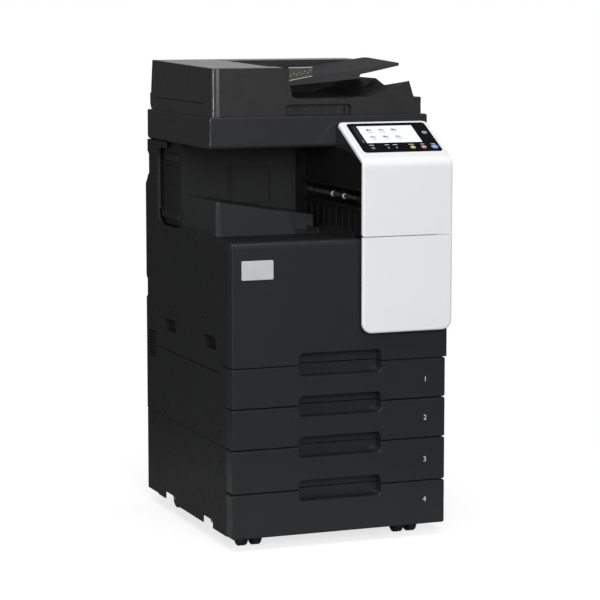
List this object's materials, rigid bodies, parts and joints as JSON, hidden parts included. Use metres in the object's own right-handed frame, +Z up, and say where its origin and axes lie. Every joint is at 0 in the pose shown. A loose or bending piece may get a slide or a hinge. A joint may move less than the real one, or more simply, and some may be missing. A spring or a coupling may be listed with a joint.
{
  "type": "photocopier",
  "caption": "Floor-standing colour photocopier with paper trays, document feeder, scanner, output cavity and tilted touch panel.",
  "frame": {"origin": "on the floor, under the middle of the machine's bounding box", "axes": "+Z up, +Y from the front (trays and touch panel) to the rear, +X to the machine's right-hand side, where the bypass tray is"},
  "size_m": [0.585, 0.639, 1.086],
  "materials": {
    "charcoal_front": "fine grained matt moulding",
    "charcoal_side": "fine grained matt moulding",
    "scanner_grey": "fine grained matt moulding",
    "feeder_grey": "fine grained matt moulding",
    "tray_grey": "speckled matt moulding",
    "inner_black": "matt moulding",
    "white_cover": "satin white moulding",
    "badge_silver": "satin metal foil",
    "black_pane": "glossy black pane",
    "screen_white": "lit display",
    "platen_clear": "clear float glass",
    "sheet_steel": "galvanised sheet",
    "screw_steel": "zinc plated",
    "paper_box": "matt moulding",
    "pad_white": "soft white sheet on foam",
    "roller_rubber": "ground rubber on a steel shaft",
    "wheel_tread": "hard rubber",
    "fork_plastic": "matt moulding",
    "toner_plastic": "matt moulding",
    "machine_inside": "matt moulding",
    "key_pale": "lit key",
    "key_yellow": "lit key",
    "key_red": "lit key",
    "key_blue": "lit key"
  },
  "bodies": {
    "machine": {"cabinet_frame": "sheet_steel", "cabinet_left_cover": "charcoal_side", "rear_covers": "charcoal_side", "main_frame": "sheet_steel", "left_covers": "charcoal_side", "inner_cover": "charcoal_front", "output_tray": "charcoal_front", "inner_rear_wall": "charcoal_side", "exit_cover": "charcoal_side", "tower_cover": "white_cover", "tower_side_cover": "charcoal_front", "panel_support": "charcoal_front", "panel_glass": "black_pane", "touch_screen": "screen_white", "scanner_housing": "scanner_grey", "scanner_top_frame": "scanner_grey", "platen_glass": "platen_clear", "adf_hinges": "sheet_steel", "power_inlet": "inner_black", "cover_screws": "screw_steel", "imaging_units": "machine_inside", "print_head_unit": "machine_inside", "transfer_belt_unit": "machine_inside", "fuser_unit": "machine_inside", "toner_cartridges": "toner_plastic", "waste_toner_box": "toner_plastic"},
    "door": {"front_door": "charcoal_front", "front_door_panel": "white_cover", "badge": "badge_silver"},
    "side_door": {"right_door": "charcoal_side"},
    "bypass": {"bypass_tray": "charcoal_side"},
    "cabinet_door": {"cabinet_right_door": "charcoal_side"},
    "feeder": {"adf_base": "feeder_grey", "adf_pad": "pad_white"},
    "feed_cover": {"adf_feed_cover": "feeder_grey"},
    "original_tray": {"document_tray": "tray_grey"},
    "guide_front": {"document_guide_front": "tray_grey"},
    "guide_rear": {"document_guide_rear": "tray_grey"},
    "carriage": {"scan_carriage": "inner_black"},
    "rollers": {"exit_rollers": "roller_rubber"},
    "tray_1": {"tray_front_1": "charcoal_front", "tray_box_1": "paper_box"},
    "tray_2": {"tray_front_2": "charcoal_front", "tray_box_2": "paper_box"},
    "tray_3": {"tray_front_3": "charcoal_front", "tray_box_3": "paper_box"},
    "tray_4": {"tray_front_4": "charcoal_front", "tray_box_4": "paper_box"},
    "menu": {"menu_key": "key_pale"},
    "reset": {"reset_key": "key_yellow"},
    "stop": {"stop_key": "key_red"},
    "start": {"start_key": "key_blue"},
    "swivel_front_left": {"caster_fork_front_left": "fork_plastic"},
    "wheels_front_left": {"caster_wheels_front_left": "wheel_tread"},
    "swivel_front_right": {"caster_fork_front_right": "fork_plastic"},
    "wheels_front_right": {"caster_wheels_front_right": "wheel_tread"},
    "swivel_rear_left": {"caster_fork_rear_left": "fork_plastic"},
    "wheels_rear_left": {"caster_wheels_rear_left": "wheel_tread"},
    "swivel_rear_right": {"caster_fork_rear_right": "fork_plastic"},
    "wheels_rear_right": {"caster_wheels_rear_right": "wheel_tread"}
  },
  "joints": [
    {"name": "tray_1_slide", "type": "slide", "parent": "machine", "child": "tray_1", "axis": [0, 1, 0], "range_m": [-0.36, 0]},
    {"name": "tray_2_slide", "type": "slide", "parent": "machine", "child": "tray_2", "axis": [0, 1, 0], "range_m": [-0.36, 0]},
    {"name": "tray_3_slide", "type": "slide", "parent": "machine", "child": "tray_3", "axis": [0, 1, 0], "range_m": [-0.36, 0]},
    {"name": "tray_4_slide", "type": "slide", "parent": "machine", "child": "tray_4", "axis": [0, 1, 0], "range_m": [-0.36, 0]},
    {"name": "front_door_open", "type": "hinge", "parent": "machine", "child": "door", "pos_m": [-0.0325, -0.2935, 0.4185], "axis": [1, 0, 0], "range_deg": [0, 80]},
    {"name": "right_door_open", "type": "hinge", "parent": "machine", "child": "side_door", "pos_m": [0.2295, 0.2515, 0.45], "axis": [0, 0, 1], "range_deg": [0, 90]},
    {"name": "cabinet_door_open", "type": "hinge", "parent": "machine", "child": "cabinet_door", "pos_m": [0.2295, 0.2515, 0.13], "axis": [0, 0, 1], "range_deg": [0, 90]},
    {"name": "bypass_tray_open", "type": "hinge", "parent": "side_door", "child": "bypass", "pos_m": [0.2815, 0.0235, 0.462], "axis": [0, 1, 0], "range_deg": [0, 70]},
    {"name": "feeder_lift", "type": "hinge", "parent": "machine", "child": "feeder", "pos_m": [-0.0325, 0.2915, 0.973], "axis": [-1, 0, 0], "range_deg": [0, 60]},
    {"name": "feed_cover_open", "type": "hinge", "parent": "feeder", "child": "feed_cover", "pos_m": [-0.2795, 0.0835, 1.001], "axis": [0, -1, 0], "range_deg": [0, 75]},
    {"name": "document_tray_lift", "type": "hinge", "parent": "feeder", "child": "original_tray", "pos_m": [-0.1185, 0.0435, 1.032], "axis": [0, -1, 0], "range_deg": [0, 25]},
    {"name": "guide_front_slide", "type": "slide", "parent": "original_tray", "child": "guide_front", "axis": [0, 1, 0], "range_m": [0, 0.1]},
    {"name": "guide_rear_slide", "type": "slide", "parent": "original_tray", "child": "guide_rear", "axis": [0, 1, 0], "range_m": [-0.1, 0]},
    {"name": "carriage_slide", "type": "slide", "parent": "machine", "child": "carriage", "axis": [1, 0, 0], "range_m": [0, 0.42]},
    {"name": "exit_rollers_spin", "type": "hinge", "parent": "machine", "child": "rollers", "pos_m": [0.0175, -0.0765, 0.783], "axis": [0, 1, 0], "continuous": true},
    {"name": "menu_key_press", "type": "slide", "parent": "machine", "child": "menu", "axis": [0, 0.4679, -0.8838], "range_m": [0, 0.0012], "stiffness_N_per_m": 300, "springref_m": -0.0005},
    {"name": "reset_key_press", "type": "slide", "parent": "machine", "child": "reset", "axis": [0, 0.4679, -0.8838], "range_m": [0, 0.0012], "stiffness_N_per_m": 300, "springref_m": -0.0005},
    {"name": "stop_key_press", "type": "slide", "parent": "machine", "child": "stop", "axis": [0, 0.4679, -0.8838], "range_m": [0, 0.0012], "stiffness_N_per_m": 300, "springref_m": -0.0005},
    {"name": "start_key_press", "type": "slide", "parent": "machine", "child": "start", "axis": [0, 0.4679, -0.8838], "range_m": [0, 0.0012], "stiffness_N_per_m": 300, "springref_m": -0.0005},
    {"name": "swivel_front_left_turn", "type": "hinge", "parent": "machine", "child": "swivel_front_left", "pos_m": [-0.2345, -0.2165, 0.06], "axis": [0, 0, 1], "continuous": true},
    {"name": "wheels_front_left_roll", "type": "hinge", "parent": "swivel_front_left", "child": "wheels_front_left", "pos_m": [-0.2345, -0.2345, 0.025], "axis": [1, 0, 0], "continuous": true},
    {"name": "swivel_front_right_turn", "type": "hinge", "parent": "machine", "child": "swivel_front_right", "pos_m": [0.1495, -0.2165, 0.06], "axis": [0, 0, 1], "continuous": true},
    {"name": "wheels_front_right_roll", "type": "hinge", "parent": "swivel_front_right", "child": "wheels_front_right", "pos_m": [0.1495, -0.2345, 0.025], "axis": [1, 0, 0], "continuous": true},
    {"name": "swivel_rear_left_turn", "type": "hinge", "parent": "machine", "child": "swivel_rear_left", "pos_m": [-0.2345, 0.2135, 0.06], "axis": [0, 0, 1], "continuous": true},
    {"name": "wheels_rear_left_roll", "type": "hinge", "parent": "swivel_rear_left", "child": "wheels_rear_left", "pos_m": [-0.2345, 0.1955, 0.025], "axis": [1, 0, 0], "continuous": true},
    {"name": "swivel_rear_right_turn", "type": "hinge", "parent": "machine", "child": "swivel_rear_right", "pos_m": [0.1495, 0.2135, 0.06], "axis": [0, 0, 1], "continuous": true},
    {"name": "wheels_rear_right_roll", "type": "hinge", "parent": "swivel_rear_right", "child": "wheels_rear_right", "pos_m": [0.1495, 0.1955, 0.025], "axis": [1, 0, 0], "continuous": true}
  ],
  "couplings": [
    {"joint": "guide_rear_slide", "follows": "guide_front_slide", "ratio": -1}
  ]
}
